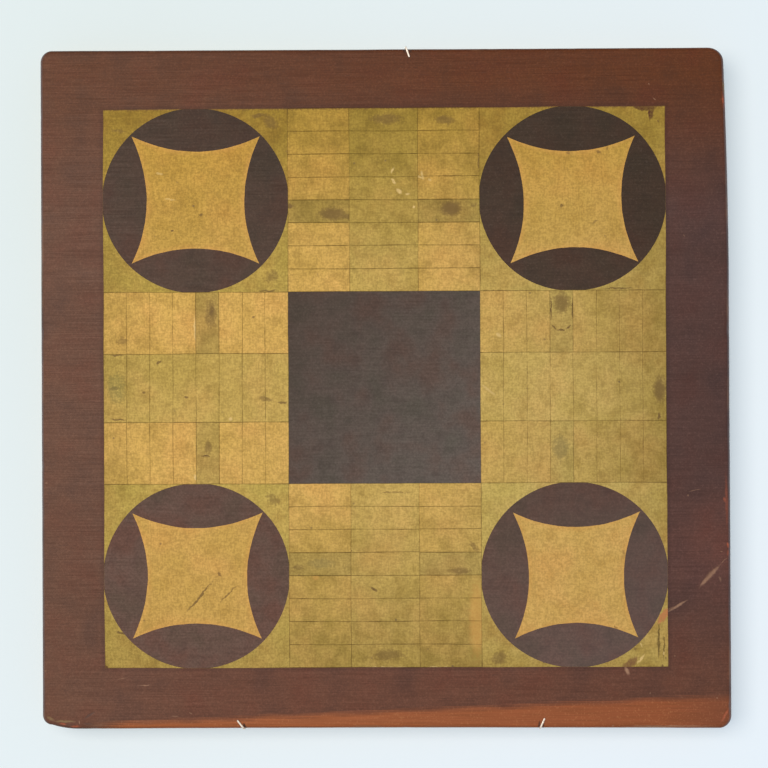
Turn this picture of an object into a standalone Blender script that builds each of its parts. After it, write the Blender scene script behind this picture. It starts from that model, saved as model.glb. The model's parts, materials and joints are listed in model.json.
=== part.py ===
"""A pachisi board hung on a wall: one wide wooden panel with a painted and gilded playing field,
two battens screwed to its back, and the three bent wire pins that hold it.

Lengths are in metres. +Z is up, +X is to the right of someone who faces the board, and the
board's face looks along -Y. The origin lies on the wall, behind the middle of the playing field.

The pieces are drawn on the board's own frame, where X runs to the right, Y runs up the board,
and Z runs out from the wall.
"""

import math

import bmesh
import bpy
from mathutils import Matrix, Vector

MM = 0.001

# Fits and cuts
CLEARANCE = 0.3 * MM  # between two pieces that touch or lie side by side
OVERRUN = 1.0 * MM  # how far a cutter reaches past the surface that it opens

# Playing field: a cross of three columns round a dark square, with a square in each corner
HOME_COLUMN = 50.8 * MM  # width of an arm's middle column
TRACK_COLUMN = 45.7 * MM  # width of the two columns beside it
UPRIGHT_CELL = 17.0 * MM  # length of a cell in the top and bottom arms
LEVEL_CELL = 17.15 * MM  # length of a cell in the left and right arms
INNER_CELLS = 3  # cells of a track column between the middle square and the safe space
SAFE_CELLS = 1
OUTER_CELLS = 4  # cells of a track column between the safe space and the border
FILM_THICKNESS = 0.6 * MM  # of each painted or gilded area
SCRIBE_WIDTH = 0.5 * MM  # of the line between two cells
SCRIBE_DEPTH = 0.25 * MM
DISC_RIM = 0.5 * MM  # gold between a disc and the nearest side of its corner square
STAR_RIM = 1.6 * MM  # dark paint between a star's tip and the edge of its disc
STAR_HOLLOW = 11.1 * MM  # how far each side of a star bows in

# Panel
SIDE_BORDER = 45.7 * MM  # wood beside the field, on the left and on the right
TOP_BORDER = 43.0 * MM
BOTTOM_BORDER = 44.0 * MM
PANEL_THICKNESS = 19.0 * MM
TOP_LEFT_RADIUS = 6.5 * MM
TOP_RIGHT_RADIUS = 10.0 * MM
BOTTOM_RIGHT_RADIUS = 11.0 * MM
BOTTOM_LEFT_RADIUS = 9.3 * MM
FACE_ROUNDING = 3.0 * MM  # radius of the worn arris round the face
BACK_ROUNDING = 1.2 * MM
LEAST_CORNER = 0.2 * MM  # radius that a rounding leaves at the tightest corner at least
RIGHT_LEAN = 3.8 * MM  # how far the right edge is planed in at the very top
LEAN_HEIGHT = 180.0 * MM  # height of the stretch that is planed in

# Battens, upright on the back and across the grain of the panel
BATTEN_WIDTH = 44.0 * MM
BATTEN_THICKNESS = 10.0 * MM
BATTEN_FROM_SIDE = 82.0 * MM  # bare wood beside each batten, out to the panel's edge
BATTEN_FROM_END = 36.0 * MM  # bare wood above and below each batten
BATTEN_CHAMFER = 2.5 * MM  # round the side that lies on the wall

# Slotted wood screws with countersunk heads
SCREW_FROM_END = 45.0 * MM  # from a batten's end to its nearest screw
SCREW_LENGTH = 19.0 * MM
HEAD_RADIUS = 4.1 * MM
HEAD_HEIGHT = 2.4 * MM
HEAD_SINK = 0.4 * MM  # how far the head lies below the batten's surface
SHANK_RADIUS = 2.1 * MM
SHANK_LENGTH = 9.0 * MM  # from the top of the head to the end of the plain shank
CORE_RADIUS = 1.5 * MM
SCREW_POINT = 3.0 * MM
SLOT_WIDTH = 1.1 * MM
SLOT_DEPTH = 1.2 * MM
SLOT_TURNS = (17, 64, -38, 82, 5, -61)  # degrees from level, as a hand left them

# Bent wire pins
WIRE = 1.4 * MM
WIRE_BEND = 1.8 * MM  # radius of the bend along the wire's centre line
PIN_ARM = 8.2 * MM  # from the shank's axis to the tip
PIN_IN_WALL = 20.0 * MM
PIN_POINT = 3.0 * MM
TIP_CHAMFER = 0.2 * MM
POINT_RADIUS = 0.15 * MM  # of the blunt end of a screw's or a pin's point
TOP_PIN_PLAY = 1.0 * MM  # the top pin's shank stands this much clear of the edge
TOP_PIN_ACROSS = 16.9 * MM  # places to the right of the middle of the field
LEFT_PIN_ACROSS = -105.0 * MM
RIGHT_PIN_ACROSS = 113.6 * MM
TOP_PIN_TURN = 195.4  # degrees anticlockwise from an arm that points up
LEFT_PIN_TURN = 37.1
RIGHT_PIN_TURN = -21.7

# Facets
ROUND_STEPS = 80  # sides of a disc
STAR_STEPS = 18  # sides of each hollow side of a star
CORNER_STEPS = 8
ARRIS_STEPS = 4
LEAN_STEPS = 6
TURNED_STEPS = 16  # sides of a screw
WIRE_STEPS = 12
BEND_STEPS = 6
SHARP_ANGLE = math.radians(30)  # edges sharper than this aren't shaded smooth

# Worked out from the sizes above
CELLS = INNER_CELLS + SAFE_CELLS + OUTER_CELLS
MIDDLE_SQUARE = HOME_COLUMN + 2 * TRACK_COLUMN
UPRIGHT_ARM = CELLS * UPRIGHT_CELL
LEVEL_ARM = CELLS * LEVEL_CELL
FIELD_WIDTH = MIDDLE_SQUARE + 2 * LEVEL_ARM
FIELD_HEIGHT = MIDDLE_SQUARE + 2 * UPRIGHT_ARM
PANEL_LEFT = -FIELD_WIDTH / 2 - SIDE_BORDER
PANEL_RIGHT = FIELD_WIDTH / 2 + SIDE_BORDER
PANEL_TOP = FIELD_HEIGHT / 2 + TOP_BORDER
PANEL_BOTTOM = -FIELD_HEIGHT / 2 - BOTTOM_BORDER
PANEL_BACK = BATTEN_THICKNESS + CLEARANCE  # this and the next two are distances from the wall
PANEL_FACE = PANEL_BACK + PANEL_THICKNESS
FILM_BACK = PANEL_FACE - FILM_THICKNESS
MARGIN = CLEARANCE / 2  # neighbouring areas each keep this far back from their common line
BATTEN_LENGTH = PANEL_TOP - PANEL_BOTTOM - 2 * BATTEN_FROM_END


def clear_scene():
    """Removes whatever objects the scene holds."""
    for obj in list(bpy.data.objects):
        bpy.data.objects.remove(obj)


def linear(code):
    """An sRGB hex colour as linear RGB with full alpha."""
    shares = [int(code[k : k + 2], 16) / 255 for k in (1, 3, 5)]
    return [s / 12.92 if s <= 0.04045 else ((s + 0.055) / 1.055) ** 2.4 for s in shares] + [1.0]


def finish(name, colour, roughness, metallic=0.0):
    """A plain material for one kind of surface."""
    material = bpy.data.materials.new(name)
    material.use_nodes = True
    shader = material.node_tree.nodes["Principled BSDF"]
    shader.inputs["Base Color"].default_value = linear(colour)
    shader.inputs["Roughness"].default_value = roughness
    shader.inputs["Metallic"].default_value = metallic
    return material


def loft(rings):
    """Joins rings of equally many points one after the other, and closes both ends."""
    bm = bmesh.new()
    loops = [[bm.verts.new(point) for point in ring] for ring in rings]
    for one, two in zip(loops, loops[1:]):
        for k, corner in enumerate(one):
            bm.faces.new((one[k - 1], corner, two[k], two[k - 1]))
    bm.faces.new(loops[0])
    bm.faces.new(loops[-1])
    return bm


def prism(outline, run, holes=()):
    """Draws a flat outline, with any holes in it, out along a run into a closed solid."""
    bm = bmesh.new()
    edges = []
    for loop in (outline, *holes):
        corners = [bm.verts.new(point) for point in loop]
        edges += [bm.edges.new((corners[k - 1], corners[k])) for k in range(len(corners))]
    filled = bmesh.ops.triangle_fill(bm, edges=edges, use_beauty=True)
    faces = [item for item in filled["geom"] if isinstance(item, bmesh.types.BMFace)]
    drawn = bmesh.ops.extrude_face_region(bm, geom=faces)
    moved = [item for item in drawn["geom"] if isinstance(item, bmesh.types.BMVert)]
    bmesh.ops.translate(bm, vec=run, verts=moved)
    return bm


def block(low, high):
    """A box between two corners."""
    outline = rectangle(low.x, low.y, high.x, high.y, low.z)
    return prism(outline, Vector((0, 0, high.z - low.z)))


def rectangle(left, bottom, right, top, height):
    """The four corners of a rectangle at a height over the wall."""
    return [Vector((x, y, height)) for x, y in ((left, bottom), (right, bottom), (right, top), (left, top))]


def ring(centre, radius, steps, tilt=0.0):
    """A circle square to Z, or tilted towards Y by an angle."""
    turn = Matrix.Rotation(-tilt, 4, "X")
    angles = [2 * math.pi * k / steps for k in range(steps)]
    return [centre + turn @ Vector((radius * math.cos(a), radius * math.sin(a), 0)) for a in angles]


def place(bm, name, material, parent, location=(0, 0, 0), turn=0.0):
    """Makes a named object of a closed shape, on its parent, turned about Z by an angle."""
    bmesh.ops.recalc_face_normals(bm, faces=bm.faces)
    mesh = bpy.data.meshes.new(name)
    bm.to_mesh(mesh)
    bm.free()
    mesh.materials.append(material)
    mesh.shade_smooth()
    mesh.set_sharp_from_angle(angle=SHARP_ANGLE)
    obj = bpy.data.objects.new(name, mesh)
    bpy.context.scene.collection.objects.link(obj)
    obj.parent = parent
    obj.location = location
    obj.rotation_euler = (0, 0, turn)
    return obj


def guide(name, parent=None, turn=(0, 0, 0)):
    """An empty that carries other objects."""
    empty = bpy.data.objects.new(name, None)
    bpy.context.scene.collection.objects.link(empty)
    empty.parent = parent
    empty.rotation_euler = turn
    return empty


def cut(obj, cutter):
    """Takes the cutter's shape out of an object."""
    cutter.hide_render = True
    cutter.display_type = "WIRE"
    modifier = obj.modifiers.new(cutter.name, "BOOLEAN")
    modifier.operation = "DIFFERENCE"
    modifier.object = cutter


def right_edge(height):
    """How far the panel reaches to the right at a height: a parabola planes its top in."""
    share = max(0.0, (height - PANEL_TOP + LEAN_HEIGHT) / LEAN_HEIGHT)
    return PANEL_RIGHT - RIGHT_LEAN * share**2


def panel_outline(inset, height):
    """The panel's outline, drawn in by an inset, at a height over the wall."""
    top_right = PANEL_TOP - TOP_RIGHT_RADIUS
    corners = (
        (right_edge(top_right) - TOP_RIGHT_RADIUS, top_right, TOP_RIGHT_RADIUS),
        (PANEL_LEFT + TOP_LEFT_RADIUS, PANEL_TOP - TOP_LEFT_RADIUS, TOP_LEFT_RADIUS),
        (PANEL_LEFT + BOTTOM_LEFT_RADIUS, PANEL_BOTTOM + BOTTOM_LEFT_RADIUS, BOTTOM_LEFT_RADIUS),
        (PANEL_RIGHT - BOTTOM_RIGHT_RADIUS, PANEL_BOTTOM + BOTTOM_RIGHT_RADIUS, BOTTOM_RIGHT_RADIUS),
    )
    points = []
    for quarter, (x, y, radius) in enumerate(corners):
        for step in range(CORNER_STEPS + 1):
            angle = (quarter + step / CORNER_STEPS) * math.pi / 2
            reach = radius - inset
            points.append(Vector((x + reach * math.cos(angle), y + reach * math.sin(angle), height)))
    for step in range(LEAN_STEPS):
        y = PANEL_TOP - LEAN_HEIGHT + (LEAN_HEIGHT - TOP_RIGHT_RADIUS) * step / LEAN_STEPS
        points.append(Vector((right_edge(y) - inset, y, height)))
    return points


def panel_shape():
    """The panel before its recess and holes are cut, with both arrises rounded."""
    tightest = min(TOP_LEFT_RADIUS, TOP_RIGHT_RADIUS, BOTTOM_RIGHT_RADIUS, BOTTOM_LEFT_RADIUS)
    levels = []
    for rounding, surface, outward in ((BACK_ROUNDING, PANEL_BACK, -1), (FACE_ROUNDING, PANEL_FACE, 1)):
        radius = min(rounding, tightest - LEAST_CORNER)
        for step in range(ARRIS_STEPS + 1):
            angle = outward * step / ARRIS_STEPS * math.pi / 2
            inset = radius * (1 - math.cos(angle))
            levels.append((inset, surface - outward * radius + radius * math.sin(angle)))
    levels.sort(key=lambda level: level[1])
    return loft([panel_outline(inset, height) for inset, height in levels])


def strip_of_cells(left, right, first, count, cell):
    """Neighbouring cells of one column as a strip, with a scribed groove across it at each line."""
    start = MIDDLE_SQUARE / 2 + first * cell
    profile = [(start + MARGIN, FILM_BACK), (start + count * cell - MARGIN, FILM_BACK)]
    profile.append((start + count * cell - MARGIN, PANEL_FACE))
    for line in range(count - 1, 0, -1):
        y = start + line * cell
        profile.append((y + SCRIBE_WIDTH / 2, PANEL_FACE))
        profile.append((y, PANEL_FACE - SCRIBE_DEPTH))
        profile.append((y - SCRIBE_WIDTH / 2, PANEL_FACE))
    profile.append((start + MARGIN, PANEL_FACE))
    outline = [Vector((left + MARGIN, y, z)) for y, z in profile]
    return prism(outline, Vector((right - left - 2 * MARGIN, 0, 0)))


def star_outline(tip, grow):
    """A square with its corners at plus and minus the tip, whose sides are arcs that bow in.
    The outline is then grown, by a clearance, all round."""
    radius = (tip**2 + STAR_HOLLOW**2) / (2 * STAR_HOLLOW)
    centre = tip - STAR_HOLLOW + radius
    radius -= grow
    corner = (centre - math.sqrt(2 * radius**2 - centre**2)) / 2  # where two arcs meet
    reach = math.asin(corner / radius)
    points = []
    for side in range(4):
        turn = Matrix.Rotation(-side * math.pi / 2, 4, "Z")
        for step in range(STAR_STEPS):
            angle = reach * (2 * step / STAR_STEPS - 1)
            arc = Vector((radius * math.sin(angle), centre - radius * math.cos(angle), FILM_BACK))
            points.append(turn @ arc)
    return points


def screw_profile(grow):
    """Heights over the head's flat top, with the radius at each, grown by a clearance."""
    return (
        (0, HEAD_RADIUS + grow),
        (HEAD_HEIGHT, SHANK_RADIUS + grow),
        (SHANK_LENGTH, SHANK_RADIUS + grow),
        (SHANK_LENGTH + SHANK_RADIUS - CORE_RADIUS, CORE_RADIUS + grow),
        (SCREW_LENGTH - SCREW_POINT, CORE_RADIUS + grow),
        (SCREW_LENGTH, POINT_RADIUS + grow),
    )


def turned(profile):
    """A round shape about Z, from pairs of height and radius."""
    return loft([ring(Vector((0, 0, height)), radius, TURNED_STEPS) for height, radius in profile])


def pin_shape():
    """A pointed wire that runs out of the wall, turns through a bend and ends in a short arm."""
    radius = WIRE / 2
    arm_height = PANEL_FACE + CLEARANCE + radius
    bend_start = arm_height - WIRE_BEND
    stations = [(0, -PIN_IN_WALL, 0, POINT_RADIUS), (0, PIN_POINT - PIN_IN_WALL, 0, radius)]
    for step in range(BEND_STEPS + 1):
        angle = step / BEND_STEPS * math.pi / 2
        y = WIRE_BEND * (1 - math.cos(angle))
        stations.append((y, bend_start + WIRE_BEND * math.sin(angle), angle, radius))
    stations.append((PIN_ARM - TIP_CHAMFER, arm_height, math.pi / 2, radius))
    stations.append((PIN_ARM, arm_height, math.pi / 2, radius - TIP_CHAMFER))
    return loft([ring(Vector((0, y, z)), size, WIRE_STEPS, tilt) for y, z, tilt, size in stations])


def make_panel(frame):
    """The wide board, with the shallow recess that the painted and gilded areas fill."""
    stained = finish("stained_wood", "#6a4838", 0.42)
    panel = place(panel_shape(), "board_panel", stained, frame)
    reach_x = FIELD_WIDTH / 2 + MARGIN
    reach_y = FIELD_HEIGHT / 2 + MARGIN
    low = Vector((-reach_x, -reach_y, FILM_BACK - CLEARANCE))
    high = Vector((reach_x, reach_y, PANEL_FACE + OVERRUN))
    cut(panel, place(block(low, high), "field_cutter", stained, frame))
    return panel


def make_middle(frame):
    """The dark square where the four arms meet."""
    reach = MIDDLE_SQUARE / 2 - MARGIN
    shape = prism(rectangle(-reach, -reach, reach, reach, FILM_BACK), Vector((0, 0, FILM_THICKNESS)))
    place(shape, "middle_square", finish("dark_square", "#5b4c45", 0.45), frame)


def make_arms(frame):
    """Four arms of three columns. A track column is an outer run of cells, a safe space and an
    inner run. Left and right are as seen from the middle of the board, looking out along the arm."""
    home = finish("home_gold", "#b39751", 0.40)
    track = finish("track_gold", "#c19a52", 0.38)
    safe = finish("safe_gold", "#9d8344", 0.45)
    runs = (
        ("inner_run", 0, INNER_CELLS, track),
        ("safe_space", INNER_CELLS, SAFE_CELLS, safe),
        ("outer_run", INNER_CELLS + SAFE_CELLS, OUTER_CELLS, track),
    )
    near = HOME_COLUMN / 2
    far = MIDDLE_SQUARE / 2
    lengths = (UPRIGHT_CELL, LEVEL_CELL, UPRIGHT_CELL, LEVEL_CELL)
    for quarter, (arm, cell) in enumerate(zip(("top", "left", "bottom", "right"), lengths)):
        carrier = guide(f"{arm}_arm_frame", frame, (0, 0, quarter * math.pi / 2))
        column = strip_of_cells(-near, near, 0, CELLS, cell)
        place(column, f"{arm}_arm_home_column", home, carrier)
        for side, left, right in (("left", -far, -near), ("right", near, far)):
            for run, first, count, material in runs:
                strip = strip_of_cells(left, right, first, count, cell)
                place(strip, f"{arm}_arm_{side}_{run}", material, carrier)


def make_corners(frame):
    """In each corner a gold square with a dark disc in it, and a gold star in the disc."""
    ground = finish("corner_gold", "#a18546", 0.45)
    dark = finish("dark_disc", "#54443c", 0.45)
    star = finish("star_gold", "#bd964f", 0.38)
    across = LEVEL_ARM / 2 - MARGIN
    upward = UPRIGHT_ARM / 2 - MARGIN
    hole_radius = min(across, upward) - DISC_RIM
    disc_radius = hole_radius - CLEARANCE
    tip = (disc_radius - STAR_RIM) / math.sqrt(2)
    centre = Vector((0, 0, FILM_BACK))
    rise = Vector((0, 0, FILM_THICKNESS))
    square = rectangle(-across, -upward, across, upward, FILM_BACK)
    corners = (("top_left", -1, 1), ("top_right", 1, 1), ("bottom_left", -1, -1), ("bottom_right", 1, -1))
    for name, x, y in corners:
        spot = (x * (MIDDLE_SQUARE + LEVEL_ARM) / 2, y * (MIDDLE_SQUARE + UPRIGHT_ARM) / 2, 0)
        ground_shape = prism(square, rise, [ring(centre, hole_radius, ROUND_STEPS)])
        disc_shape = prism(ring(centre, disc_radius, ROUND_STEPS), rise, [star_outline(tip, CLEARANCE)])
        place(ground_shape, f"{name}_ground", ground, frame, spot)
        place(disc_shape, f"{name}_disc", dark, frame, spot)
        place(prism(star_outline(tip, 0), rise), f"{name}_star", star, frame, spot)


def make_battens(frame, panel):
    """Two battens, each held by three screws that run through it into the panel's back."""
    wood = finish("batten_wood", "#9a7b55", 0.7)
    steel = finish("screw_steel", "#77706a", 0.4, 1.0)
    reach_x = BATTEN_WIDTH / 2
    reach_y = BATTEN_LENGTH / 2
    levels = ((0, BATTEN_CHAMFER), (BATTEN_CHAMFER, 0), (BATTEN_THICKNESS, 0))
    rings = [rectangle(d - reach_x, d - reach_y, reach_x - d, reach_y - d, z) for z, d in levels]
    turns = iter(SLOT_TURNS)
    inward = BATTEN_FROM_SIDE + BATTEN_WIDTH / 2
    middle = (PANEL_TOP + PANEL_BOTTOM) / 2
    spread = BATTEN_LENGTH / 2 - SCREW_FROM_END
    for side, across in (("left", PANEL_LEFT + inward), ("right", PANEL_RIGHT - inward)):
        batten = place(loft(rings), f"{side}_batten", wood, frame, (across, middle, 0))
        for height, upward in (("upper", spread), ("middle", 0), ("lower", -spread)):
            name = f"{side}_batten_{height}_screw"
            spot = (across, middle + upward, HEAD_SINK)
            turn = math.radians(next(turns))
            screw = place(turned(screw_profile(0)), name, steel, frame, spot, turn)
            slot_low = Vector((-HEAD_RADIUS - OVERRUN, -SLOT_WIDTH / 2, -OVERRUN))
            slot_high = Vector((HEAD_RADIUS + OVERRUN, SLOT_WIDTH / 2, SLOT_DEPTH))
            cut(screw, place(block(slot_low, slot_high), f"{name}_slot_cutter", steel, frame, spot, turn))
            hole = (
                (-HEAD_SINK - OVERRUN, HEAD_RADIUS + CLEARANCE),
                *screw_profile(CLEARANCE),
                (SCREW_LENGTH + CLEARANCE, POINT_RADIUS + CLEARANCE),
            )
            drill = place(turned(hole), f"{name}_hole_cutter", steel, frame, spot)
            cut(batten, drill)
            cut(panel, drill)


def make_pins(frame):
    """Three bent pins. Each object's origin lies on its shank's axis, about which the pin turns."""
    steel = finish("pin_wire", "#d8d6cf", 0.25, 1.0)
    offset = WIRE / 2 + CLEARANCE
    above = PANEL_TOP + TOP_PIN_PLAY + offset
    below = PANEL_BOTTOM - offset
    pins = (
        ("top_pin", TOP_PIN_ACROSS, above, TOP_PIN_TURN),
        ("bottom_left_pin", LEFT_PIN_ACROSS, below, LEFT_PIN_TURN),
        ("bottom_right_pin", RIGHT_PIN_ACROSS, below, RIGHT_PIN_TURN),
    )
    for name, x, y, turn in pins:
        place(pin_shape(), name, steel, frame, (x, y, 0), math.radians(turn))


def main():
    """Builds the whole board."""
    clear_scene()
    frame = guide("board_frame", turn=(math.pi / 2, 0, 0))
    panel = make_panel(frame)
    make_middle(frame)
    make_arms(frame)
    make_corners(frame)
    make_battens(frame, panel)
    make_pins(frame)


main()
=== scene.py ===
"""The look of an old pachisi board: gold leaf and dark paint on a wide stained board, worn soft at
its edges, which three bent wire pins hold on a pale wall. Two bare battens are screwed to its back.

Lengths are in metres, and in materials in millimetres. +Z is up, +X is to the right of someone who
faces the board, and its face looks along -Y. Places on the face are pairs of x and z.
"""

import json
import math
from types import SimpleNamespace

import bmesh
import bpy
from mathutils import Matrix, Vector, noise


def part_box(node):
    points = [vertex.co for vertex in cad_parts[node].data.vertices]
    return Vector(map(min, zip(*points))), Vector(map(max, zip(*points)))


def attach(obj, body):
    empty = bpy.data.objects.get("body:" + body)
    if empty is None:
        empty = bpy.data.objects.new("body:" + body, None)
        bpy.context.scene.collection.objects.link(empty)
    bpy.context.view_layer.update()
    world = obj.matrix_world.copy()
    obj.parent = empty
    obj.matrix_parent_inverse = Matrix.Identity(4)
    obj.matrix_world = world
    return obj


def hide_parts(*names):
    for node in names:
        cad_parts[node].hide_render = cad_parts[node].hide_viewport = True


MM = 0.001

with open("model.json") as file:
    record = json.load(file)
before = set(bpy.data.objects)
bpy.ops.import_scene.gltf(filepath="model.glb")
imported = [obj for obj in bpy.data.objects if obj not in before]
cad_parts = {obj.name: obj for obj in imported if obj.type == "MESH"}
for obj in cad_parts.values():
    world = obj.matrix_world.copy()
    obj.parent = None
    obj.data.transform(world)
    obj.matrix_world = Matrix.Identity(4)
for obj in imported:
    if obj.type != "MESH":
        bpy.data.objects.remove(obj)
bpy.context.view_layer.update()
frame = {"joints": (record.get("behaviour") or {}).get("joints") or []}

# The layout, as the solids give it
SOLID_GAP = 0.15 * MM  # each area of the solids stays this far back from its own outline
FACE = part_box("middle_square")[0].y
PANEL_LOW, PANEL_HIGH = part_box("board_panel")

# What the hand left. Each length is that of the wavering beside it.
HAND_DRIFT = 0.35 * MM  # how far lines wander from the layout
DRIFT_LENGTH = 45 * MM
HEIGHT_SEED = Vector((17.3, 5.9, 3.1))  # sets the wandering of heights apart from that of widths
LINE_STRAY = 1.3 * HAND_DRIFT  # how far the line between two cells strays besides
STRAY_LENGTH = 60 * MM
BRUSH_DRIFT = 0.28 * MM  # how far the edge of a brushed area wavers
BRUSH_LENGTH = 7 * MM
SCRIBE_HALF = 0.4 * MM  # half the width of a scribed line
SCRIBE_DEPTH = 0.2 * MM
PRESS_SHARE = 0.75  # how hard the point was pressed on average, between two cells
PRESS_SWING_SHARE = 0.5
PRESS_LENGTH = 11 * MM
UPRIGHT_SHARE = 0.75  # how deep the upright lines are beside the level ones
FILM_DEPTH = 0.5 * MM
FILM_SPAN = 5 * MM  # between the points across a column of cells
SQUARE_SPANS = 30

# Stars, from the middle of their disc: the four tips, clockwise from the top left one, in mm
STAR_TIPS = {
    "top_left": ((-47.3, 47.9), (47.9, 47.4), (47.3, -46.9), (-47.3, -46.4)),
    "top_right": ((-48.3, 46.1), (46.2, 46.2), (48.3, -47.2), (-46.0, -47.7)),
    "bottom_left": ((-47.6, 46.5), (48.9, 46.8), (48.0, -46.4), (-47.6, -46.2)),
    "bottom_right": ((-45.2, 46.2), (48.6, 46.6), (46.6, -46.4), (-44.2, -46.8)),
}
STAR_HOLLOW = 11.2 * MM  # how far a star's side bows in
STAR_STEPS = 28  # points on each side
DISC_OVER = 0.6 * MM  # how far a disc would reach past its square
DISC_GAP = 0.04 * MM  # what is left of the gold there
CORNER_SPANS = 56  # points on each side of a corner square

# Rings of points in each corner's areas, as shares of the way out, and how far each ring belongs to
# the rubbed rim or to the scribed line
STAR_RING_SHARES = {0.3: 0, 0.6: 0, 0.8: 0.05, 0.9: 0.3, 0.96: 0.6, 0.99: 0.9, 1: 1}
DISC_RING_SHARES = {0: 1, 0.12: 0.2, 0.5: 0, 0.88: 0.2, 1: 1}
GROUND_RING_SHARES = {0: 0, 0.5: 0, 0.96: 0, 1: 0.8}

# Panel
FACE_ROUNDING = 3.0 * MM
BACK_ROUNDING = 1.2 * MM
FLAT_INSET = 4.8 * MM  # the face is flat this far in from the edge
WEAR_LENGTH = 26 * MM  # between more and less worn stretches of an arris
WEAR_SHARE = 0.18  # how much the rounding of an arris varies
DENT = 1.6 * MM
DENT_CROWDING = 2.7  # dents lie this much closer than the worn stretches
DENT_START = 0.45  # the noise makes a dent from this value on
CORNER_RADII = (10.5 * MM, 7.5 * MM, 6.0 * MM, 8.0 * MM)  # from the top right, anticlockwise
RIGHT_LEAN = 3.8 * MM
LEAN_HEIGHT = 180 * MM
KNOCKED_LENGTH = 26 * MM  # of the lower edge, at the left corner
KNOCKED_DEPTH = 5.5 * MM
EDGE_SWELL = {  # how far each planed edge stands out, at its low end, middle and high end, in mm
    "right": (1.0, 1.1, 1.5),
    "top": (1.5, 0.8, 0.3),
    "left": (0.8, 0.95, 1.05),
    "bottom": (1.3, 0.85, 1.7),
}
RIM_STEP = 4 * MM
CORNER_STEPS = 14
ARRIS_STEPS = 7
MOUTH_STEPS = 80  # points along each side of the recess for the painted field

# Battens and screws
BATTEN_CHAMFER = 2.5 * MM
BATTEN_EASE = 0.5 * MM
BATTEN_STEPS = 40
SAW_DRIFT = 0.25 * MM  # how far a sawn edge wavers
SAW_LENGTH = 35 * MM
HEAD_RADIUS = 4.1 * MM
HEAD_BURR = 0.15 * MM
HEAD_HEIGHT = 2.4 * MM
SHANK_RADIUS = 2.1 * MM
SHANK_LENGTH = 9 * MM
SCREW_END = 18.8 * MM
SCREW_TIP = 0.6 * MM
SLOT_WIDTH = 1.1 * MM
SLOT_DEPTH = 1.2 * MM
SINK_PLAY = 0.35 * MM  # between a screw's head and its countersink
TURNED_SIDES = 48
SLOT_TURNS = {
    "left_batten_upper_screw": -17,
    "left_batten_middle_screw": -64,
    "left_batten_lower_screw": 38,
    "right_batten_upper_screw": -82,
    "right_batten_middle_screw": -5,
    "right_batten_lower_screw": 61,
}

# Pins
WIRE_RADIUS = 0.7 * MM
WIRE_BEND = 1.8 * MM
PIN_ARM = 8.2 * MM
PIN_POINT = 3 * MM
POINT_RADIUS = 0.12 * MM
TIP_ROUNDING = 0.3 * MM
WIRE_SIDES = 24
SHANK_STEPS = 6
BEND_STEPS = 9
ARM_STEPS = 3

# Edges that turn by more degrees than this are drawn sharp
SHARP = 28
FILM_SHARP = 8


def linear(code):
    """An sRGB hex colour as linear RGB with full alpha."""
    shares = [int(code[k : k + 2], 16) / 255 for k in (1, 3, 5)]
    return [s / 12.92 if s <= 0.04045 else ((s + 0.055) / 1.055) ** 2.4 for s in shares] + [1.0]


def add(tree, kind, inputs=(), **settings):
    """Adds a shader node with its settings and links. An input is a value, a hex colour, a socket,
    or a node, which gives its first output in use."""
    node = tree.nodes.new("ShaderNode" + kind)
    for name, value in settings.items():
        setattr(node, name, value)
    for name, value in dict(inputs).items():
        if isinstance(value, bpy.types.Node):
            value = next(socket for socket in value.outputs if socket.enabled)
        if isinstance(value, bpy.types.NodeSocket):
            tree.links.new(value, node.inputs[name])
        else:
            node.inputs[name].default_value = linear(value) if isinstance(value, str) else value
    return node


# Shapes on the face


def on_face(x, z, depth=0.0):
    """A point of the layout where the hand really put it, at a depth under the face."""
    spot = Vector((x, z, 0)) / DRIFT_LENGTH
    across = HAND_DRIFT * noise.noise(spot)
    up = HAND_DRIFT * noise.noise(spot + HEIGHT_SEED)
    return Vector((x + across, FACE + depth, z + up))


def area(node):
    """The rectangle of the layout that a node's area fills: left, right, low, high."""
    low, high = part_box(node)
    return low.x - SOLID_GAP, high.x + SOLID_GAP, low.z - SOLID_GAP, high.z + SOLID_GAP


def field():
    """The rectangle of the whole playing field: left, right, low, high."""
    left, _, low, _ = area("bottom_left_ground")
    _, right, _, high = area("top_right_ground")
    return left, right, low, high


def web(bm, rows, closed=True):
    """Faces between rows of equally many vertices. Closed rows run all the way round."""
    for one, two in zip(rows, rows[1:]):
        for k in range(0 if closed else 1, len(one)):
            bm.faces.new((one[k - 1], one[k], two[k], two[k - 1]))


def piece(bm, name, material, body, nodes, facing=None, sharp=SHARP):
    """Makes a piece of a shape. It rides on a body, has a slot and stands for CAD nodes. Its
    shading breaks at edges that turn by more than sharp degrees."""
    bmesh.ops.recalc_face_normals(bm, faces=bm.faces)
    if facing and sum(f.normal.dot(facing) * f.calc_area() for f in bm.faces) < 0:
        bmesh.ops.reverse_faces(bm, faces=bm.faces)
    mesh = bpy.data.meshes.new(name)
    bm.to_mesh(mesh)
    bm.free()
    mesh.materials.append(material)
    mesh.shade_smooth()
    mesh.set_sharp_from_angle(angle=math.radians(sharp))
    obj = bpy.data.objects.new(name, mesh)
    bpy.context.scene.collection.objects.link(obj)
    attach(obj, body)
    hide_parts(*nodes)
    return obj


def film(bm, node, material):
    """Ends a thin area of the face: its edges turn down into the panel."""
    rims = [edge for edge in bm.edges if edge.is_boundary]
    drawn = bmesh.ops.extrude_edge_only(bm, edges=rims)
    for item in drawn["geom"]:
        if isinstance(item, bmesh.types.BMVert):
            item.co.y = FACE + FILM_DEPTH
    outwards = Vector((0, -1, 0))
    return piece(bm, f"{node}_finish", material, "board", [node], outwards, FILM_SHARP)


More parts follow.
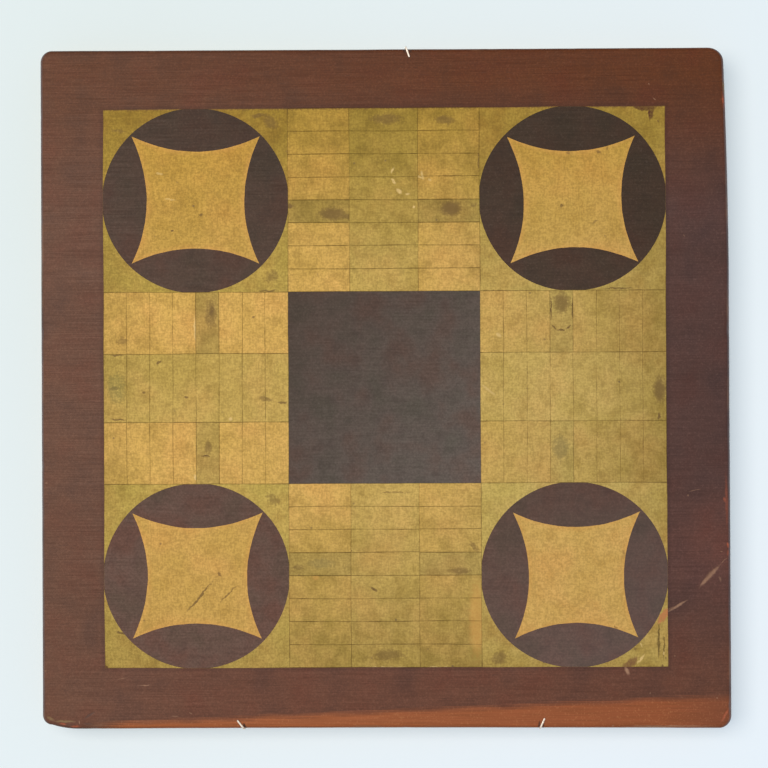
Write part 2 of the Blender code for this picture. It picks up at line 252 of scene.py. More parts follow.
def strip(node, cells, sideways, material):
    """A column of cells in gold leaf. The lines between the cells are scribed by hand, so each
    strays a little from the layout and is deeper in some places than in others."""
    left, right, low, high = area(node)
    u_low, u_high, v_low, v_high = (low, high, left, right) if sideways else (left, right, low, high)
    bm = bmesh.new()
    line = bm.verts.layers.float.new("line")
    spans = max(3, round((u_high - u_low) / FILM_SPAN))
    columns = [(u_low, 1), (u_low + SCRIBE_HALF, 0)]
    columns += [(u_low + (u_high - u_low) * k / spans, 0) for k in range(1, spans)]
    columns += [(u_high - SCRIBE_HALF, 0), (u_high, 1)]
    rim_press, cell_press = (1, UPRIGHT_SHARE) if sideways else (UPRIGHT_SHARE, 1)
    cell = (v_high - v_low) / cells
    stations = [(v_low, 0, 1, 0), (v_low, SCRIBE_HALF, 0, 0)]
    for k in range(1, cells):
        stations += [(v_low + k * cell, side * SCRIBE_HALF, 1 - abs(side), k) for side in (-1, 0, 1)]
    stations += [(v_high, -SCRIBE_HALF, 0, 0), (v_high, 0, 1, 0)]
    rows = []
    for v, beside, deep, number in stations:
        row = []
        for u, rim in columns:
            stray = 0
            press = 1
            if number:  # a line between two cells, with a noise of its own
                stray = LINE_STRAY * noise.noise(Vector((u / STRAY_LENGTH, v * 90, number * 3.7)))
                swing = noise.noise(Vector((u / PRESS_LENGTH, v * 310, 8.1)))
                press = PRESS_SHARE + PRESS_SWING_SHARE * swing
            share = max(deep * cell_press, rim * rim_press) * press
            along = v + beside + stray
            x, z = (along, u) if sideways else (u, along)
            vert = bm.verts.new(on_face(x, z, share * SCRIBE_DEPTH))
            vert[line] = share
            row.append(vert)
        rows.append(row)
    web(bm, rows, closed=False)
    return film(bm, node, material)


def middle_square(material):
    """The dark square where the arms meet."""
    left, right, low, high = area("middle_square")
    shares = [k / SQUARE_SPANS for k in range(SQUARE_SPANS + 1)]
    bm = bmesh.new()
    rows = []
    for up in shares:
        z = low + (high - low) * up
        rows.append([bm.verts.new(on_face(left + (right - left) * across, z)) for across in shares])
    web(bm, rows, closed=False)
    return film(bm, "middle_square", material)


def star_outline(name, centre):
    """The points round a star, from the middle of its disc. Each side bows in between two tips,
    and the brush strayed a little along it."""
    tips = [Vector(tip) * MM for tip in STAR_TIPS[name]]
    points = []
    for one, two in zip(tips, tips[1:] + tips[:1]):
        inward = -((one + two) / 2).normalized()
        for step in range(STAR_STEPS):
            t = step / STAR_STEPS
            point = one.lerp(two, t) + inward * STAR_HOLLOW * 4 * t * (1 - t)
            spot = ((point + centre) / BRUSH_LENGTH).to_3d()
            stray = noise.noise(spot + Vector((0, 0, 4.4))) + 0.5 * noise.noise(spot * 3)
            points.append(point * (1 + BRUSH_DRIFT * stray / point.length))
    return points


def corner(name, ground, dark, gold):
    """A corner square in gold leaf, the dark disc painted on it and the star left in the disc."""
    left, right, low, high = area(f"{name}_ground")
    centre = Vector(((left + right) / 2, (low + high) / 2))
    half = Vector(((right - left) / 2, (high - low) / 2))
    reach = half + Vector((DISC_OVER, DISC_OVER))

    def square_edge(angle, gap=0.0):
        way = Vector((math.cos(angle), math.sin(angle)))
        return way / max(abs(way.x) / (half.x - gap), abs(way.y) / (half.y - gap))

    def disc_edge(angle):
        way = Vector((math.cos(angle), math.sin(angle)))
        curved = way / math.hypot(way.x / reach.x, way.y / reach.y)
        return min(curved, square_edge(angle, DISC_GAP), key=lambda point: point.length)

    def rings(attribute, inner, outer, shares):
        """A new shape of rings between two outlines, each with a value of an attribute."""
        bm = bmesh.new()
        layer = bm.verts.layers.float.new(attribute)
        rows = []
        for share, value in shares.items():
            row = []
            for one, two in zip(inner, outer):
                spot = centre + one.lerp(two, share)
                row.append(bm.verts.new(on_face(spot.x, spot.y)))
                row[-1][layer] = value
            rows.append(row)
        web(bm, rows)
        return bm, rows

    star = star_outline(name, centre)
    middle = [Vector((0, 0))] * len(star)
    bm, rows = rings("rim", middle, star, STAR_RING_SHARES)
    bm.faces.new(rows[0])
    film(bm, f"{name}_star", gold)

    disc = [disc_edge(math.atan2(point.y, point.x)) for point in star]
    bm, rows = rings("rim", star, disc, DISC_RING_SHARES)
    film(bm, f"{name}_disc", dark)

    slope = math.atan2(half.y, half.x)
    turns = [slope, math.pi - slope, math.pi + slope, 2 * math.pi - slope, 2 * math.pi + slope]
    angles = []
    for one, two in zip(turns, turns[1:]):
        angles += [one + (two - one) * k / CORNER_SPANS for k in range(CORNER_SPANS)]
    inner = [disc_edge(angle) for angle in angles]
    outer = [square_edge(angle) for angle in angles]
    bm, rows = rings("line", inner, outer, GROUND_RING_SHARES)
    film(bm, f"{name}_ground", ground)


# Panel


def right_edge(z):
    """How far the panel reaches to the right at a height: its top was planed in."""
    share = max(0.0, (z - PANEL_HIGH.z + LEAN_HEIGHT) / LEAN_HEIGHT)
    return PANEL_HIGH.x - RIGHT_LEAN * share**2


def bottom_edge(x):
    """How far down the panel reaches at a place: its left corner was knocked and sanded off."""
    share = max(0.0, (PANEL_LOW.x + KNOCKED_LENGTH - x) / KNOCKED_LENGTH)
    return PANEL_LOW.z + KNOCKED_DEPTH * share**2


def swell(point, way):
    """How far the planed edge stands out at a point of the panel's outline, on the way out."""
    flank = ("right" if way.x > 0 else "left", way.x, point.y)
    end = ("top" if way.y > 0 else "bottom", way.y, point.x)
    total = 0
    for side, share, along in (flank, end):
        low, middle, high = EDGE_SWELL[side]
        t = along / PANEL_HIGH.x
        curve = middle + t * (high - low) / 2 + t * t * ((high + low) / 2 - middle)
        total += share * share * curve * MM
    return total


def panel_rim():
    """Points round the panel's outline, each with the way out of the wood there."""
    top = PANEL_HIGH.z
    radii = CORNER_RADII
    centres = (
        (right_edge(top - radii[0]) - radii[0], top - radii[0]),
        (PANEL_LOW.x + radii[1], top - radii[1]),
        (PANEL_LOW.x + radii[2], bottom_edge(PANEL_LOW.x + radii[2]) + radii[2]),
        (PANEL_HIGH.x - radii[3], PANEL_LOW.z + radii[3]),
    )
    rim = []
    for quarter, centre in enumerate(centres):
        for step in range(CORNER_STEPS + 1):
            angle = (quarter + step / CORNER_STEPS) * math.pi / 2
            way = Vector((math.cos(angle), math.sin(angle)))
            rim.append((Vector(centre) + way * radii[quarter], way))
        start, way = rim[-1]
        after = (quarter + 1) % 4
        end = Vector(centres[after]) + way * radii[after]
        steps = round((end - start).length / RIM_STEP)
        for step in range(1, steps):
            point = start.lerp(end, step / steps)
            if after == 0:
                point.x = right_edge(point.y)
            if after == 3:
                point.y = bottom_edge(point.x)
            rim.append((point, way))
    return [(point + way * swell(point, way), way) for point, way in rim]


def panel(material):
    """The wide board. Its arrises are worn round, more in some places, and its edge has dents."""
    bm = bmesh.new()
    wear = bm.verts.layers.float.new("wear")
    rim = panel_rim()
    quarter = [k / ARRIS_STEPS * math.pi / 2 for k in range(ARRIS_STEPS + 1)]
    levels = [(FACE, 1, FACE_ROUNDING, angle) for angle in quarter]
    levels += [(PANEL_HIGH.y, -1, BACK_ROUNDING, angle) for angle in reversed(quarter)]
    rows = []
    for plane, way_in, rounding, angle in levels:
        worn = math.sin(2 * angle)
        row = []
        for point, way in rim:
            spot = Vector((point.x, point.y, 0)) / WEAR_LENGTH + Vector((0, 0, way_in))
            radius = rounding * (1 + WEAR_SHARE * noise.noise(spot))
            dent = max(0, noise.noise(spot * DENT_CROWDING) - DENT_START) * DENT * worn
            flat = point - way * (radius * (1 - math.sin(angle)) + dent)
            sunk = radius * (1 - math.cos(angle)) + dent
            row.append(bm.verts.new((flat.x, plane + way_in * sunk, flat.y)))
            row[-1][wear] = worn
        rows.append(row)
    web(bm, rows)
    bm.faces.new(rows[-1])
    ring = []
    for point, way in rim:
        flat = point - way * FLAT_INSET
        ring.append(bm.verts.new((flat.x, FACE, flat.y)))
    web(bm, [rows[0], ring])

    left, right, low, high = field()
    corners = [Vector(pair) for pair in ((left, low), (right, low), (right, high), (left, high))]
    mouth = []
    for one, two in zip(corners, corners[1:] + corners[:1]):
        for step in range(MOUTH_STEPS):
            spot = one.lerp(two, step / MOUTH_STEPS)
            mouth.append(bm.verts.new(on_face(spot.x, spot.y)))
    floor = [bm.verts.new(vert.co + Vector((0, FILM_DEPTH, 0))) for vert in mouth]
    web(bm, [mouth, floor])
    bm.faces.new(floor)
    edges = []
    for loop in (ring, mouth):
        edges += [bm.edges.get((one, two)) for one, two in zip(loop, loop[1:] + loop[:1])]
    bmesh.ops.triangle_fill(bm, edges=edges, use_beauty=True)
    return piece(bm, "board_wood", material, "board", ["board_panel"])


# Battens, screws and pins


def turned(profile):
    """A round shape about Y, from pairs of y and radius."""
    bm = bmesh.new()
    rows = []
    for y, radius in profile:
        angles = [2 * math.pi * k / TURNED_SIDES for k in range(TURNED_SIDES)]
        rows.append([bm.verts.new((radius * math.cos(a), y, radius * math.sin(a))) for a in angles])
    web(bm, rows)
    bm.faces.new(rows[0])
    bm.faces.new(rows[-1])
    bmesh.ops.recalc_face_normals(bm, faces=bm.faces)
    return bm


def cutter(bm, place):
    """A shape that only cuts."""
    mesh = bpy.data.meshes.new("cutter")
    bm.to_mesh(mesh)
    bm.free()
    obj = bpy.data.objects.new("cutter", mesh)
    obj.matrix_world = place
    bpy.context.scene.collection.objects.link(obj)
    return obj


def carve(obj, cutters):
    """Cuts shapes out of a piece for good, and removes them."""
    for shape in cutters:
        modifier = obj.modifiers.new("cut", "BOOLEAN")
        modifier.object = shape
    mesh = bpy.data.meshes.new_from_object(obj.evaluated_get(bpy.context.evaluated_depsgraph_get()))
    obj.modifiers.clear()
    mesh.shade_smooth()
    mesh.set_sharp_from_angle(angle=math.radians(SHARP))
    obj.data = mesh
    for shape in cutters:
        bpy.data.objects.remove(shape)


def screw(node, x, z, head, steel):
    """A countersunk wood screw with a slot, its edge a little burred. Returns its hole's shape."""
    place = Matrix.Translation((x, head, z))
    profile = (
        (0, HEAD_RADIUS - HEAD_BURR),
        (-HEAD_BURR, HEAD_RADIUS),
        (-HEAD_HEIGHT, SHANK_RADIUS),
        (-SHANK_LENGTH, SHANK_RADIUS),
        (-SCREW_END, SCREW_TIP),
    )
    bm = turned(profile)
    bm.transform(place)
    obj = piece(bm, f"{node}_turned", steel, "board", [node])
    slot = bmesh.new()  # its cutter is longer than the head is wide, and stands half out of it
    bmesh.ops.create_cube(slot, size=1)
    slot.transform(Matrix.Diagonal((3 * HEAD_RADIUS, 2 * SLOT_DEPTH, SLOT_WIDTH, 1)))
    carve(obj, [cutter(slot, place @ Matrix.Rotation(math.radians(SLOT_TURNS[node]), 4, "Y"))])
    hole = (
        (HEAD_HEIGHT, HEAD_RADIUS + HEAD_HEIGHT),
        (0, HEAD_RADIUS + SINK_PLAY),
        (-HEAD_HEIGHT, SHANK_RADIUS + SINK_PLAY),
        (-SCREW_END, SHANK_RADIUS + SINK_PLAY),
    )
    return cutter(turned(hole), place)


def batten(side, wood, steel):
    """A sawn batten and its three slotted screws."""
    low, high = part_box(f"{side}_batten")
    middle = (low.x + high.x) / 2
    width = high.x - low.x
    length = high.z - low.z
    section = [
        (low.x + BATTEN_EASE, low.y),
        (high.x - BATTEN_EASE, low.y),
        (high.x, low.y + BATTEN_EASE),
        (high.x, high.y - BATTEN_CHAMFER),
        (high.x - BATTEN_CHAMFER, high.y),
        (low.x + BATTEN_CHAMFER, high.y),
        (low.x, high.y - BATTEN_CHAMFER),
        (low.x, low.y + BATTEN_EASE),
    ]
    eased = 1 - 2 * BATTEN_EASE / width
    sound = length - 2 * BATTEN_EASE
    stations = [(0, eased)]
    stations += [(BATTEN_EASE + sound * k / BATTEN_STEPS, 1) for k in range(BATTEN_STEPS + 1)]
    stations += [(length, eased)]
    bm = bmesh.new()
    rows = []
    for rise, scale in stations:
        row = []
        for k, (x, y) in enumerate(section):
            seed = k * 1.7 + middle * 50  # each edge of each batten wavers in its own way
            stray = abs(noise.noise(Vector((seed, rise / SAW_LENGTH, 2.2)))) * SAW_DRIFT
            across = (x - middle) * (scale - 2 * stray / width)
            row.append(bm.verts.new((middle + across, y, low.z + rise)))
        rows.append(row)
    web(bm, rows)
    bm.faces.new(rows[0])
    bm.faces.new(rows[-1])
    obj = piece(bm, f"{side}_batten_sawn", wood, "board", [f"{side}_batten"])
    holes = []
    for height in ("upper", "middle", "lower"):
        node = f"{side}_batten_{height}_screw"
        screw_low, screw_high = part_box(node)
        spot = (screw_low + screw_high) / 2
        holes.append(screw(node, spot.x, spot.z, screw_high.y, steel))
    carve(obj, holes)


def pin(node, material):
    """A bent wire pin: a straight shank out of the wall, a tight bend and a short arm."""
    low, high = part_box(node)
    axis = Vector(next(j["pos_m"] for j in frame["joints"] if j["name"] == f"{node}_turn"))
    axis.y = 0
    ends = [Vector((x, 0, z)) - axis for x in (low.x, high.x) for z in (low.z, high.z)]
    way = max(ends, key=lambda end: end.length).normalized()
    side = way.cross(Vector((0, 1, 0)))
    front = low.y + WIRE_RADIUS
    sharpened = high.y - PIN_POINT
    bend_start = front + WIRE_BEND
    path = [(high.y, 0, 0, POINT_RADIUS)]
    for k in range(SHANK_STEPS):
        path.append((sharpened + (bend_start - sharpened) * k / SHANK_STEPS, 0, 0, WIRE_RADIUS))
    for k in range(BEND_STEPS + 1):
        angle = k / BEND_STEPS * math.pi / 2
        y = front + WIRE_BEND * (1 - math.sin(angle))
        path.append((y, WIRE_BEND * (1 - math.cos(angle)), angle, WIRE_RADIUS))
    straight = PIN_ARM - TIP_ROUNDING - WIRE_BEND
    for k in range(1, ARM_STEPS + 1):
        path.append((front, WIRE_BEND + straight * k / ARM_STEPS, math.pi / 2, WIRE_RADIUS))
    path.append((front, PIN_ARM, math.pi / 2, WIRE_RADIUS - TIP_ROUNDING))
    bm = bmesh.new()
    rows = []
    for y, out, tilt, size in path:
        centre = axis + way * out + Vector((0, y, 0))
        up = way * math.cos(tilt) + Vector((0, 1, 0)) * math.sin(tilt)
        angles = [2 * math.pi * k / WIRE_SIDES for k in range(WIRE_SIDES)]
        rows.append([bm.verts.new(centre + (side * math.cos(a) + up * math.sin(a)) * size) for a in angles])
    web(bm, rows)
    bm.faces.new(rows[0])
    bm.faces.new(rows[-1])
    return piece(bm, f"{node}_wire", material, node, [node])


# Materials


def blank(name):
    """A material with nothing in it yet, its tree, and the places on the object in mm."""
    material = bpy.data.materials.new(name)
    material.use_nodes = True
    tree = material.node_tree
    tree.nodes.clear()
    place = add(tree, "TexCoord").outputs["Object"]
    mm = add(tree, "Mapping", {"Vector": place, "Scale": (1 / MM, 1 / MM, 1 / MM)})
    return material, tree, mm


def patterns(tree, mm, **sizes):
    """Random patterns by name. Each varies over the lengths along x, y and z that it is given, in
    mm, and mostly keeps between 0.2 and 0.8."""
    made = {}
    for name, (x, y, z) in sizes.items():
        scaled = add(tree, "Mapping", {"Vector": mm, "Scale": (1 / x, 1 / y, 1 / z)})
        made[name] = add(tree, "TexNoise", {"Vector": scaled, "Scale": 1.0, "Detail": 3.0})
    return SimpleNamespace(**made)


def coat(tree, under, over, pattern, start, full, most=1.0, blend="MIX"):
    """Lays a colour over another: none where a pattern has its start value, rising to the share
    called most where it has its full value."""
    inputs = {"Value": pattern, "From Min": start, "From Max": full, "To Max": most}
    share = add(tree, "MapRange", inputs)
    return add(tree, "Mix", {0: share, 6: under, 7: over}, data_type="RGBA", blend_type=blend)


def shaken(tree, mm, reach):
    """The places on the object, each moved by up to so many mm. It makes an outline ragged."""
    stir = patterns(tree, mm, stir=(3.5, 3.5, 3.5)).stir.outputs["Color"]
    moved = add(tree, "VectorMath", {0: stir, 1: (2 * reach,) * 3, 2: mm}, operation="MULTIPLY_ADD")
    return add(tree, "Mapping", {"Vector": moved, "Location": (-reach,) * 3})


STROKE_THROUGH = 1e4  # mm from front to back, so that a stroke goes right through the board


def strokes(tree, mm, places):
    """A pattern that is 0 but for strokes. A stroke is (x, z, x, z, width, strength): it runs from
    one place to the other and swells in between to its width, in mm."""
    total = 0.0
    for x, z, to_x, to_z, width, strength in places:
        middle = ((x + to_x) / 2, 0, (z + to_z) / 2)
        turn = math.atan2(to_z - z, to_x - x)
        half = max(math.hypot(to_x - x, to_z - z), width) / 2
        size = (half, STROKE_THROUGH, width / 2)
        inputs = {"Vector": mm, "Location": middle, "Rotation": (0, -turn, 0), "Scale": size}
        inside = add(tree, "Mapping", inputs, vector_type="TEXTURE")
        inner = add(tree, "TexGradient", {"Vector": inside}, gradient_type="SPHERICAL").outputs["Fac"]
        inputs = {"Value": inner, "From Min": 0.0, "From Max": 0.7, "To Max": strength}
        mask = add(tree, "MapRange", inputs, interpolation_type="SMOOTHSTEP")
        total = add(tree, "Math", {0: total, 1: mask}, operation="MAXIMUM")
    return total


def finish(tree, colour, roughness, height, depth, **constants):
    """The surface: its colour, its roughness, and a relief that is so many mm deep."""
    relief = add(tree, "Bump", {"Strength": 1.0, "Distance": depth * MM, "Height": height})
    inputs = {"Base Color": colour, "Roughness": roughness, "Normal": relief}
    for name, value in constants.items():
        inputs[name.replace("_", " ")] = value
    surface = add(tree, "BsdfPrincipled", inputs)
    add(tree, "OutputMaterial", {"Surface": surface})


HANDLED_LINE = -20  # mm across: hands dull the gold least along this upright line
HANDLED_START = (150, 0, 70)  # mm across from it, and mm up or down, where the dulling starts
HANDLED_SHARES = (0.01, 0, 0.006)  # of the full dullness, for each mm further out
# The leaf thins out along the top between these heights, in mm. About 2.5 mm of mottle is taken from
# a place's height first, which breaks up the edge.
THIN_LEAF = (203.8, 205.2)
SPECK_SPACING = 13  # mm
SPECK_SHARES = (0.085, 0.03)  # of that spacing: the radius of a speck and of its dark middle
LEAF_RELIEF = 0.02  # mm


def gold_leaf(name, bright, greener, dull, yellowed_and_shaded, marks, rim_colour=None):
    """Gold leaf under old shellac, laid by hand over a brushed ground. The eye gets a satin yellow
    that is more a paint's than a metal's, faintly mottled in short strokes both ways, pinker in some
    places and greener in others, and greener to the right. Hands have dulled it towards the ends of
    the arms. Towards the top left it is yellower, where the shellac has aged more, and darker with
    painted shade, so that the light looks brighter towards the lower right. The scribed lines hold
    dirt, and specks, stains and pale rubbed places lie here and there."""
    material, tree, mm = blank(name)
    # Brush strokes under the leaf are 1 mm wide and 5 mm long. The leaf's own grain is too fine to
    # show, so its grit is drawn at 1.3 mm. Stains are as wide as a fingertip, patches as two
    # fingers.
    p = patterns(
        tree, mm, cloud=(11, 11, 11), patch=(34, 34, 34), across=(5, 4, 1), upward=(1, 4, 5),
        grit=(1.3, 1.3, 1.3),
    )
    mottle = add(tree, "Math", {0: p.across, 1: p.upward}, operation="ADD")
    mottle = add(tree, "Math", {0: mottle, 1: 0.5, 2: p.grit}, operation="MULTIPLY_ADD")

    shifted = add(tree, "VectorMath", {0: mm, 1: (-HANDLED_LINE, 0, 0)}, operation="ADD")
    shifted = add(tree, "VectorMath", {0: shifted}, operation="ABSOLUTE")
    start = [-far * share for far, share in zip(HANDLED_START, HANDLED_SHARES)]
    outer = add(tree, "Mapping", {"Vector": shifted, "Location": start, "Scale": HANDLED_SHARES})
    outer = add(tree, "SeparateXYZ", {0: outer}).outputs
    handled = add(tree, "Math", {0: outer[0], 1: outer[2]}, operation="MAXIMUM", use_clamp=True)
    handled = add(tree, "Math", {0: handled, 1: p.cloud}, operation="ADD")
    place = add(tree, "SeparateXYZ", {0: mm}).outputs
    colour = coat(tree, bright, greener, place[0], 20, 110)
    colour = coat(tree, colour, dull, handled, 0.5, 1.5)

    # Painted shade: darker towards the top left and brighter towards the lower right, as light would fall.
    # The yellowing there is aged shellac.
    painted_light_slant = add(tree, "VectorMath", {0: mm, 1: (1 / 350, 0, -1 / 250)}, operation="DOT_PRODUCT")
    colour = coat(tree, colour, yellowed_and_shaded, painted_light_slant, 1.0, -1.0, blend="MULTIPLY")
    colour = coat(tree, colour, "#fffad4", place[2], 100, 210, blend="MULTIPLY")
    colour = coat(tree, colour, "#dee6b8", p.patch, 0.42, 0.66, 0.32, blend="MULTIPLY")
    colour = coat(tree, colour, "#ffe6dc", p.patch, 0.5, 0.3, 0.32, blend="MULTIPLY")
    colour = coat(tree, colour, "#d6c9a8", p.cloud, 0.48, 0.72, 0.24, blend="MULTIPLY")
    colour = coat(tree, colour, "#a39b84", mottle, 1.35, 0.85, 0.33, blend="MULTIPLY")
    colour = coat(tree, colour, "#ead09a", mottle, 1.2, 1.6, 0.12)
    colour = coat(tree, colour, "#6b5526", mottle, 1.08, 0.84, 0.14)

    scaled = add(tree, "Mapping", {"Vector": mm, "Scale": (1 / SPECK_SPACING,) * 3})
    specks = add(tree, "TexVoronoi", {"Vector": scaled, "Scale": 1.0})
    inputs = {"Value": p.cloud, "From Min": 0.4, "From Max": 0.6, "To Max": 0.75}
    speckled = add(tree, "MapRange", inputs)
    colour = coat(tree, colour, "#64503a", specks, *SPECK_SHARES, speckled)

    # A mark is broken where the ground's brush strokes stand up through it, and so is the top edge
    inputs = {"Value": mottle, "From Min": 0.75, "From Max": 1.15, "To Min": 0.5}
    broken = add(tree, "MapRange", inputs)
    ragged = shaken(tree, mm, 1.6)
    for mark, places in marks.items():
        inputs = {0: mottle, 1: -0.8, 2: strokes(tree, ragged, places)}
        rubbed = add(tree, "Math", inputs, operation="MULTIPLY_ADD")
        colour = coat(tree, colour, mark, rubbed, -0.62, 0.05, broken)
    edge = add(tree, "Math", {0: mottle, 1: -2.0, 2: place[2]}, operation="MULTIPLY_ADD")
    colour = coat(tree, colour, "#6b4a2c", edge, *THIN_LEAF, 0.7)

    if rim_colour:
        rim = add(tree, "Attribute", attribute_name="rim").outputs["Fac"]
        inputs = {"Value": p.cloud, "From Min": 0.35, "From Max": 0.6, "To Min": 0.2, "To Max": 0.6}
        uneven = add(tree, "MapRange", inputs)
        colour = coat(tree, colour, rim_colour, rim, 0.2, 1.0, uneven)
    else:
        line = add(tree, "Attribute", attribute_name="line").outputs["Fac"]
        dirt = patterns(tree, mm, dirt=(9, 9, 9)).dirt
        dirty = add(tree, "MapRange", {"Value": dirt, "From Min": 0.38, "From Max": 0.62, "To Min": 0.4})
        colour = coat(tree, colour, "#563f18", line, 0.05, 0.9, dirty)
    inputs = {"Value": mottle, "From Min": 0.7, "From Max": 1.3, "To Min": 0.6, "To Max": 0.5}
    rough = add(tree, "MapRange", inputs)
    finish(tree, colour, rough, mottle, LEAF_RELIEF, Metallic=0.3, Specular_IOR_Level=0.3)
    return material


BRUSH_RELIEF = 0.02  # mm


def dark_paint(name, dark, pale, across, up):
    """Thin dark brown oil paint, brushed out level. The eye gets a soft, nearly flat brown that is
    painted paler towards one side as a sheen of the light, as far as the shares per mm across and up
    say. It is redder in some places and greener in others, and a painted glare of a window lies over
    it at the bottom right."""
    material, tree, mm = blank(name)
    # The bristles' marks are about 1 mm wide and 30 mm long. Dust is finer than that, but it is
    # drawn at 1.3 mm to show.
    p = patterns(
        tree, mm, brush=(30, 10, 1.1), cloud=(26, 26, 30), grit=(1.3, 1.3, 1.3), blot=(9, 9, 9)
    )
    # Painted sheen: the paint is paler towards one side, as light mirrored in the finish would make it.
    painted_light_slant = add(tree, "VectorMath", {0: mm, 1: (across, 0.0, up)}, operation="DOT_PRODUCT")
    colour = coat(tree, dark, pale, painted_light_slant, -1.0, 1.0)
    colour = coat(tree, colour, "#ffd6c8", p.cloud, 0.5, 0.66, 0.55, blend="MULTIPLY")
    colour = coat(tree, colour, "#d6e6da", p.cloud, 0.5, 0.34, 0.6, blend="MULTIPLY")
    colour = coat(tree, colour, "#d8d4d6", p.blot, 0.5, 0.7, 0.5, blend="MULTIPLY")
    colour = coat(tree, colour, "#c0bcb8", p.brush, 0.35, 0.7, 0.3, blend="MULTIPLY")
    colour = coat(tree, colour, "#a8a4a0", p.grit, 0.6, 0.36, 0.4, blend="MULTIPLY")
    colour = coat(tree, colour, "#8c7c74", p.grit, 0.6, 0.78, 0.1)
    # Painted glare: a greyer veil at the bottom right stands for a window mirrored in the finish.
    painted_glare = add(tree, "VectorMath", {0: mm, 1: (1 / 300, 0, -1 / 300)}, operation="DOT_PRODUCT")
    colour = coat(tree, colour, "#6f6668", painted_glare, 0.4, 1.2, 0.15)
    inputs = {"Value": p.brush, "From Min": 0.3, "From Max": 0.7, "To Min": 0.48, "To Max": 0.6}
    rough = add(tree, "MapRange", inputs)
    finish(tree, colour, rough, p.brush, BRUSH_RELIEF, Specular_IOR_Level=0.3)
    return material


# Strokes on the wood, by colour: (x, z, x, z, width, strength), in mm
WOOD_STROKES = {
    "#a47c60": (  # bared wood in scratches
        (230, -150, 248.4, -130.4, 3.4, 1.0), (247, -131.5, 252.9, -126.2, 0.9, 0.5),
        (222.2, -78.3, 235, -75.8, 1.0, 0.35), (205, -168.6, 224.6, -156.8, 2.6, 0.75),
        (-185, -220, -172.5, -219.6, 1.0, 0.7), (-200.5, -215.6, -189.6, -213.6, 1.0, 0.4),
        (-160, -243, -153, -242.6, 0.9, 0.4), (-227.3, -245, -227, -249, 1.2, 0.7),
        (166.3, -251.5, 168, -250, 1.6, 0.7), (168, -251.2, 250, -250.8, 1.6, 0.75),
        (196, 223.3, 197.4, 223.3, 1.7, 0.5), (199, 213.5, 202.4, 211, 1.3, 0.5),
        (212.4, -199, 214, -199, 1.6, 0.5), (194, -226.6, 196, -226.6, 2.0, 0.4),
        (243.4, -229.6, 244.6, -230.6, 1.6, 0.6), (246.6, -122.4, 249, -122.4, 1.0, 0.5),
        (245.6, -140, 248, -145, 2.2, 0.35), (223.1, -80.6, 224, -80.6, 2.0, 0.35),
        (176.4, -206.4, 179.4, -213.6, 4.2, 0.9), (-146, -239.6, -143.5, -241, 1.3, 0.5),
        (-253.5, -209.1, -251.4, -209.1, 1.6, 0.5), (-253, -69.8, -249.5, -70, 1.6, 0.5),
        (148, 206.9, 190, 206.7, 0.8, 0.4), (221, 112, 223, 110, 1.2, 0.35),
    ),
    "#7d5a45": (  # torn fibres and paler stain
        (233, -147, 246, -132.4, 5.2, 0.7), (206, -166, 214, -162, 1.8, 0.5),
        (-224, -249.6, -204, -249.4, 3.0, 0.5),
    ),
    "#a9583a": (  # orange wood under the stain
        (252.4, -115, 253.2, -120.5, 2.2, 0.95), (252.6, -120, 252.8, -127, 2.0, 0.5),
        (249.5, -81.5, 252, -87, 3.2, 0.5), (251, 216, 251.6, 206.5, 2.6, 0.8),
        (246, -249, 253.6, -237, 2.4, 0.8), (-243, -247.8, -236, -248.6, 2.4, 0.8),
        (-235, -249.9, -225.6, -250, 2.2, 0.8), (250.4, 222, 252.4, 200, 3.4, 0.25),
        (251.5, -60, 252.5, -110, 3.2, 0.3),
    ),
    "#8f744c": (  # finish worn thin on the arrises
        (251.4, 227, 252, 215, 1.8, 0.8), (-252.4, -242, -245, -246.2, 3.0, 0.7),
        (-248, -246.2, -228.6, -246.4, 2.4, 0.7), (-254, 120, -254, 40, 1.6, 0.3),
        (-150, 251, -60, 251, 1.4, 0.3),
    ),
    "#34231b": (  # painted shadows that the pins cast on the wood
        (-106.2, -247, -103, -253, 2.4, 1.0), (113.8, -246, 112, -253, 2.2, 0.9),
        (116.3, -248.4, 116, -253, 1.8, 0.9), (15.8, 252, 16.4, 246.4, 2.8, 0.8),
        (20.9, 252, 20.7, 246.8, 2.4, 0.7),
    ),
    "#4c3a33": (  # bruises
        (-225, -245.4, -214.6, -238.4, 2.6, 0.7), (-240, -249, -229, -249, 1.4, 0.5),
        (-226, -248, -215.6, -248.4, 3.0, 0.5),
    ),
}


# The wood's own places, in mm
PALE_LENGTH = (-118, 48, 8)  # of the right border: its middle's height, its faint and its full reach
# The finish thins below the first height and is gone below the second. About 5.5 mm of grain and
# clouds is added to a place's height first, which makes the band ragged.
WORN_BAND = (-232.2, -237.0)
BAND_SLOPE = 0.0407  # how far the band climbs to the right, for each mm
RING_RATE = 0.055  # annual rings for each mm up the bare back
WOOD_RELIEF = 0.05  # mm


